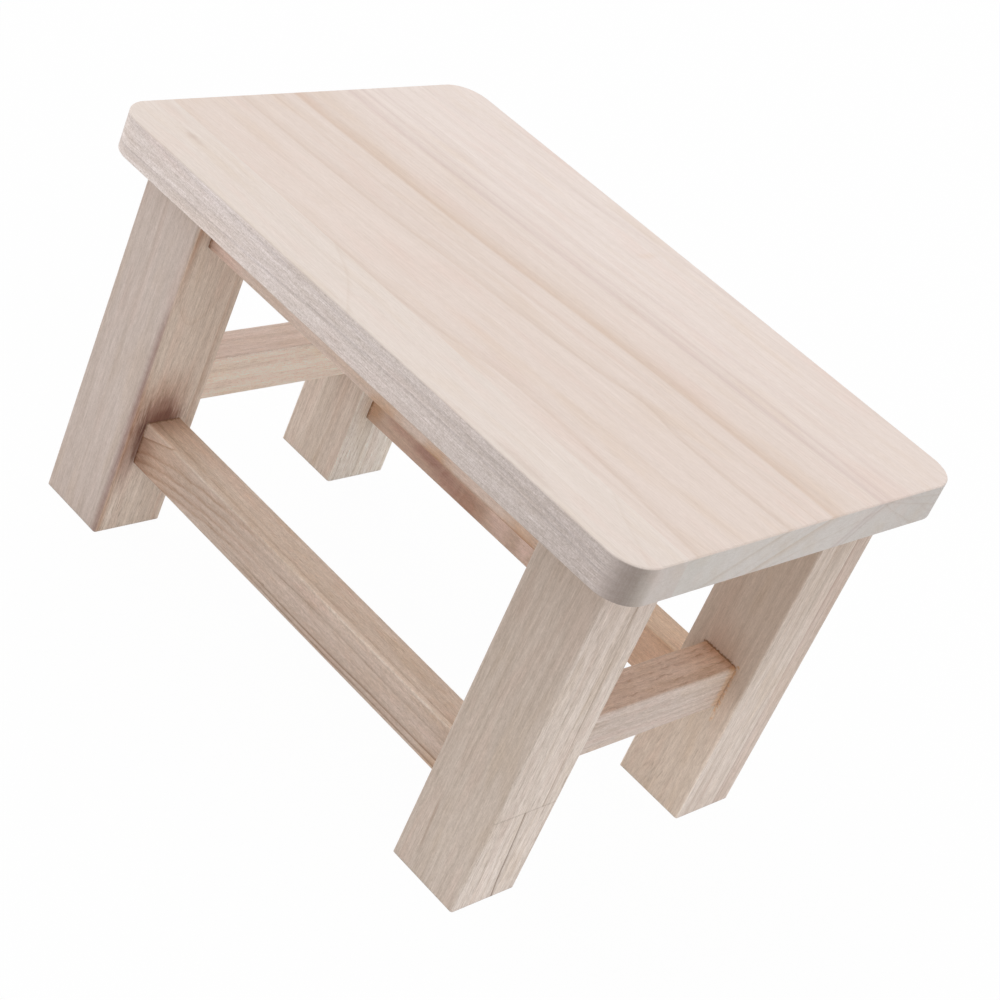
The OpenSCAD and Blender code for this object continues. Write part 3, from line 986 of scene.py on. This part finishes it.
def right_stretcher_wood(settings):
    """Right stretcher: wavy dark dashes on its top, and an open ragged joint at the rear leg."""
    wood = bar_base("right_stretcher", settings, "y", "x", (14.0, -28.0), 1.6)
    y, right = wood.y, wood.from_left
    on_top = wood.to_top.ramp(2.3, 0.3)
    on_right = wood.to_right.ramp(2.0, 0.4)
    wave = wood.noise(y / 6.0, right / 6.0, 0.0, 2.0) * 3.0
    for offset, strength in ((2.0, 0.8), (5.0, 0.9), (8.5, 0.7), (12.0, 0.8), (15.0, 0.6)):
        line = ((-51, offset), (0, offset + 1.5), (51, offset + 0.5))
        broken = wood.noise(y / 7.0, offset, 0.0, 2.0).ramp(-0.12, 0.12)
        wood.streak(y, right + wave, line, 0.4, 1.6, (0.66, 0.54, 0.48), on_top * broken * strength)
    to_rear = BARE_HALF["y"] - y
    wood.tint(on_top * 0.7, (0.97, 0.93, 0.91))
    wood.tint(to_rear.ramp(34.0, 6.0) * (on_top * 0.5 + 0.4), (0.94, 0.86, 0.78))
    wood.tint(to_rear.ramp(7.0, 1.0) * on_top * 0.8, (0.84, 0.72, 0.60))
    ragged = wood.noise(wood.x / 1.5, y / 1.5, wood.z / 1.0, 3.0, 0.6) * 7.0
    wood.tint((to_rear + ragged).ramp(5.5, 1.5) * on_right * 0.9, (1.02, 0.87, 0.69))
    joint_shade(wood, to_rear, 0.9, TORN_DARK, 0.9 - on_right * 0.65)
    joint_shade(wood, y + BARE_HALF["y"], 0.9, SHADOW_BROWN, 0.7)
    # Painted light and shade on the right face and the top
    wood.faces(wood.to_right, wood.to_top, (0.95, 1.01, 1.07), (1.02, 1.02, 1.01))
    return wood.finish(settings)


def rail_wood(node, settings, heart):
    """Rail under the seat: pinker at its left, and patchy with orange-brown at its right."""
    wood = bar_base(node, settings, "x", "y", heart)
    x = wood.x
    wood.tint(x.ramp(-74.0, -86.0), (1.04, 0.97, 0.96))
    # Painted shade in the notch by the left leg
    wood.tint((x + BARE_HALF["x"]).ramp(8.0, 0.0), (0.74, 0.67, 0.62))
    for spot, half in ((10, 14), (40, 12), (88, 14)):
        wood.stain((spot, wood.low.y, wood.low.z), (half, 6, 9), (0.90, 0.76, 0.62), 1.0)
    wood.tint(wood.from_foot.ramp(1.6, 0.6) * x.ramp(0.0, 40.0) * 0.8, (0.74, 0.60, 0.50))
    wood.tint(1.0, (1.03, 1.04, 1.06))
    joint_shade(wood, wood.to_leg, 1.6, SHADOW_BROWN, 0.9)
    return wood.finish(settings)


def dowel_wood(settings):
    """Beech dowels: short dark flecks along an even tan."""
    wood = Wood("leg_dowels", settings.dowel_colour)
    x, y, z = wood.x, wood.y, wood.z
    wood.fibres(z, x, y, 12.0, 0.3, 0.14)
    fleck = wood.noise(z / 1.6, x / 0.35, y / 0.35, 1.0).ramp(0.16, 0.26)
    wood.tint(fleck * 0.6, (0.74, 0.62, 0.52))
    return wood.coat(0.6, 0.1, 0.4)


def screw_zinc(settings):
    """Dull zinc: cloudy plating with fine scratches from the driver."""
    graph = Graph(bpy.data.materials.new("seat_screw_zinc"))
    x, y, z = graph.place()
    cloud = graph.noise(x / 1.2, y / 1.2, z / 1.2, 3.0)
    scratch = graph.noise(x / 0.12, y / 0.9, z / 0.9, 2.0)
    colour = graph.scaled(graph.plain(settings.screw_colour), cloud * 0.3 + 1.0)
    shader = graph.principled({
        "Base Color": colour,
        "Metallic": 1.0,
        "Roughness": cloud * 0.25 + scratch * 0.1 + 0.38,
        "Normal": graph.relief(0.3, 0.02, scratch),
    })
    return graph.surface(shader)


class STOOL_OT_seat(bpy.types.Operator):
    """Give the two seat boards their wood"""

    bl_idname = "stool.seat"
    bl_label = "Seat boards"

    def execute(self, context):
        settings = context.scene.stool_wood
        dress("seat_main_board", main_board_wood(settings))
        dress("seat_front_strip", front_strip_wood(settings))
        return {"FINISHED"}


class STOOL_OT_legs(bpy.types.Operator):
    """Give each leg its own wood"""

    bl_idname = "stool.legs"
    bl_label = "Legs"

    def execute(self, context):
        settings = context.scene.stool_wood
        for node, wood in (
            ("front_left_leg", front_left_leg_wood),
            ("rear_left_leg", rear_left_leg_wood),
            ("front_right_leg", front_right_leg_wood),
            ("front_right_leg_foot", front_right_foot_wood),
            ("rear_right_leg", rear_right_leg_wood),
        ):
            dress(node, wood(settings))
        return {"FINISHED"}


class STOOL_OT_stretchers(bpy.types.Operator):
    """Give the four stretchers their wood"""

    bl_idname = "stool.stretchers"
    bl_label = "Stretchers"

    def execute(self, context):
        settings = context.scene.stool_wood
        for node, wood in (
            ("front_stretcher", front_stretcher_wood),
            ("rear_stretcher", rear_stretcher_wood),
            ("left_stretcher", left_stretcher_wood),
            ("right_stretcher", right_stretcher_wood),
        ):
            dress(node, wood(settings))
        return {"FINISHED"}


class STOOL_OT_rails(bpy.types.Operator):
    """Give the two rails under the seat their wood"""

    bl_idname = "stool.rails"
    bl_label = "Seat rails"

    def execute(self, context):
        settings = context.scene.stool_wood
        dress("front_rail", rail_wood("front_rail", settings, (10.0, -40.0)))
        dress("rear_rail", rail_wood("rear_rail", settings, (-14.0, -36.0)))
        return {"FINISHED"}


class STOOL_OT_fixings(bpy.types.Operator):
    """Give the dowels their beech and the screws their zinc"""

    bl_idname = "stool.fixings"
    bl_label = "Dowels and screws"

    def execute(self, context):
        settings = context.scene.stool_wood
        dress("leg_dowels", dowel_wood(settings))
        dress("seat_screws", screw_zinc(settings))
        return {"FINISHED"}


def floor_paint(settings):
    """Pale paint: its own shaded colour, with a share of plain white for the camera and gloss."""
    graph = Graph(bpy.data.materials.new("floor_paint"))
    x, y = graph.place()[:2]
    speck = graph.noise(x / 40.0, y / 40.0, 0.0, 3.0)
    paint = graph.principled({
        "Base Color": graph.scaled(graph.plain(settings.floor_colour), speck * 0.01 + 1.0),
        "Roughness": 0.9,
        "Specular IOR Level": 0.1,
    })
    white = graph.node("ShaderNodeEmission", None, {"Color": (1.0, 1.0, 1.0), "Strength": 1.0})
    shader = graph.node(
        "ShaderNodeMixShader",
        None,
        {0: graph.seen_directly() * settings.floor_glow, 1: paint.outputs[0], 2: white.outputs[0]},
    )
    return graph.surface(shader)


def make_floor(settings):
    """A square floor under the feet, as a stage object."""
    half = settings.floor_size / 2
    corners = [(-half, -half, 0.0), (half, -half, 0.0), (half, half, 0.0), (-half, half, 0.0)]
    mesh = bpy.data.meshes.new("floor")
    mesh.from_pydata(corners, [], [(0, 1, 2, 3)])
    mesh.materials.append(floor_paint(settings))
    floor = bpy.data.objects.new("floor", mesh)
    bpy.context.scene.collection.objects.link(floor)


def make_sky(settings):
    """White light from all round, with a broad soft light on either side.

    A side light's strength is the cosine of the angle from its middle, to the power of the focus.
    The camera and gloss see plain white instead.
    """
    graph = Graph(bpy.data.worlds.new("studio"))
    way = graph.node("ShaderNodeTexCoord").outputs["Generated"]
    parts = graph.node("ShaderNodeSeparateXYZ", None, {0: way})
    x, z = (Value(graph, parts.outputs[name]) for name in ("X", "Z"))
    aside, up = math.cos(settings.side_height), math.sin(settings.side_height)
    right = (x * aside + z * up).most(0.0) ** settings.side_focus
    left = (z * up - x * aside).most(0.0) ** settings.side_focus
    level = right * settings.right_level + left * settings.left_level + settings.sky_level
    seen = graph.seen_directly()
    sky = graph.node(
        "ShaderNodeBackground",
        None,
        {"Color": (1.0, 1.0, 1.0), "Strength": seen + (1.0 - seen) * level},
    )
    graph.node("ShaderNodeOutputWorld", None, {"Surface": sky.outputs[0]})
    bpy.context.scene.world = graph.owner


def make_camera(settings):
    """The camera, turned about its own axis so that the stool leans to the right."""
    azimuth, elevation = settings.camera_azimuth, settings.camera_elevation
    roll = settings.camera_roll
    back = Vector((
        math.sin(azimuth) * math.cos(elevation),
        -math.cos(azimuth) * math.cos(elevation),
        math.sin(elevation),
    ))
    level_right = (-back).cross(Vector((0.0, 0.0, 1.0))).normalized()
    level_up = level_right.cross(-back)
    right = math.cos(roll) * level_right + math.sin(roll) * level_up
    up = math.cos(roll) * level_up - math.sin(roll) * level_right
    lens = bpy.data.cameras.new("camera")
    lens.sensor_width = 36.0
    lens.lens = settings.camera_lens
    lens.clip_start = 0.01
    lens.clip_end = 100.0
    camera = bpy.data.objects.new("camera", lens)
    turned = Matrix((right, up, back)).transposed().to_4x4()
    turned.translation = Vector(settings.camera_aim) + back * settings.camera_distance
    camera.matrix_world = turned
    bpy.context.scene.collection.objects.link(camera)
    bpy.context.scene.camera = camera


class STOOL_OT_stage(bpy.types.Operator):
    """Set up the floor, the studio light and the camera"""

    bl_idname = "stool.stage"
    bl_label = "Stage"

    def execute(self, context):
        settings = context.scene.stool_stage
        make_floor(settings)
        make_sky(settings)
        make_camera(settings)
        context.scene.view_settings.view_transform = "Standard"
        return {"FINISHED"}


OPERATORS = (
    STOOL_OT_seat,
    STOOL_OT_legs,
    STOOL_OT_stretchers,
    STOOL_OT_rails,
    STOOL_OT_fixings,
    STOOL_OT_stage,
)


class STOOL_PT_panel(bpy.types.Panel):
    """The stool's settings and the steps that use them"""

    bl_idname = "STOOL_PT_panel"
    bl_label = "Shoe fitting stool"
    bl_space_type = "VIEW_3D"
    bl_region_type = "UI"
    bl_category = "Stool"

    def draw(self, context):
        layout = self.layout
        for group in (context.scene.stool_wood, context.scene.stool_stage):
            column = layout.column()
            for name in group.__annotations__:
                column.prop(group, name)
        for operator in OPERATORS:
            layout.operator(operator.bl_idname)


CLASSES = (StoolWoodSettings, StoolStageSettings, *OPERATORS, STOOL_PT_panel)


def register():
    """Registers the classes and hangs the settings on the scene."""
    for cls in CLASSES:
        bpy.utils.register_class(cls)
    bpy.types.Scene.stool_wood = bpy.props.PointerProperty(type=StoolWoodSettings)
    bpy.types.Scene.stool_stage = bpy.props.PointerProperty(type=StoolStageSettings)


def unregister():
    """Takes the settings and the classes away again."""
    del bpy.types.Scene.stool_stage
    del bpy.types.Scene.stool_wood
    for cls in reversed(CLASSES):
        bpy.utils.unregister_class(cls)


def main():
    """Registers the add-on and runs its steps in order."""
    register()
    bpy.ops.stool.seat()
    bpy.ops.stool.legs()
    bpy.ops.stool.stretchers()
    bpy.ops.stool.rails()
    bpy.ops.stool.fixings()
    bpy.ops.stool.stage()


if __name__ == "__main__":
    main()
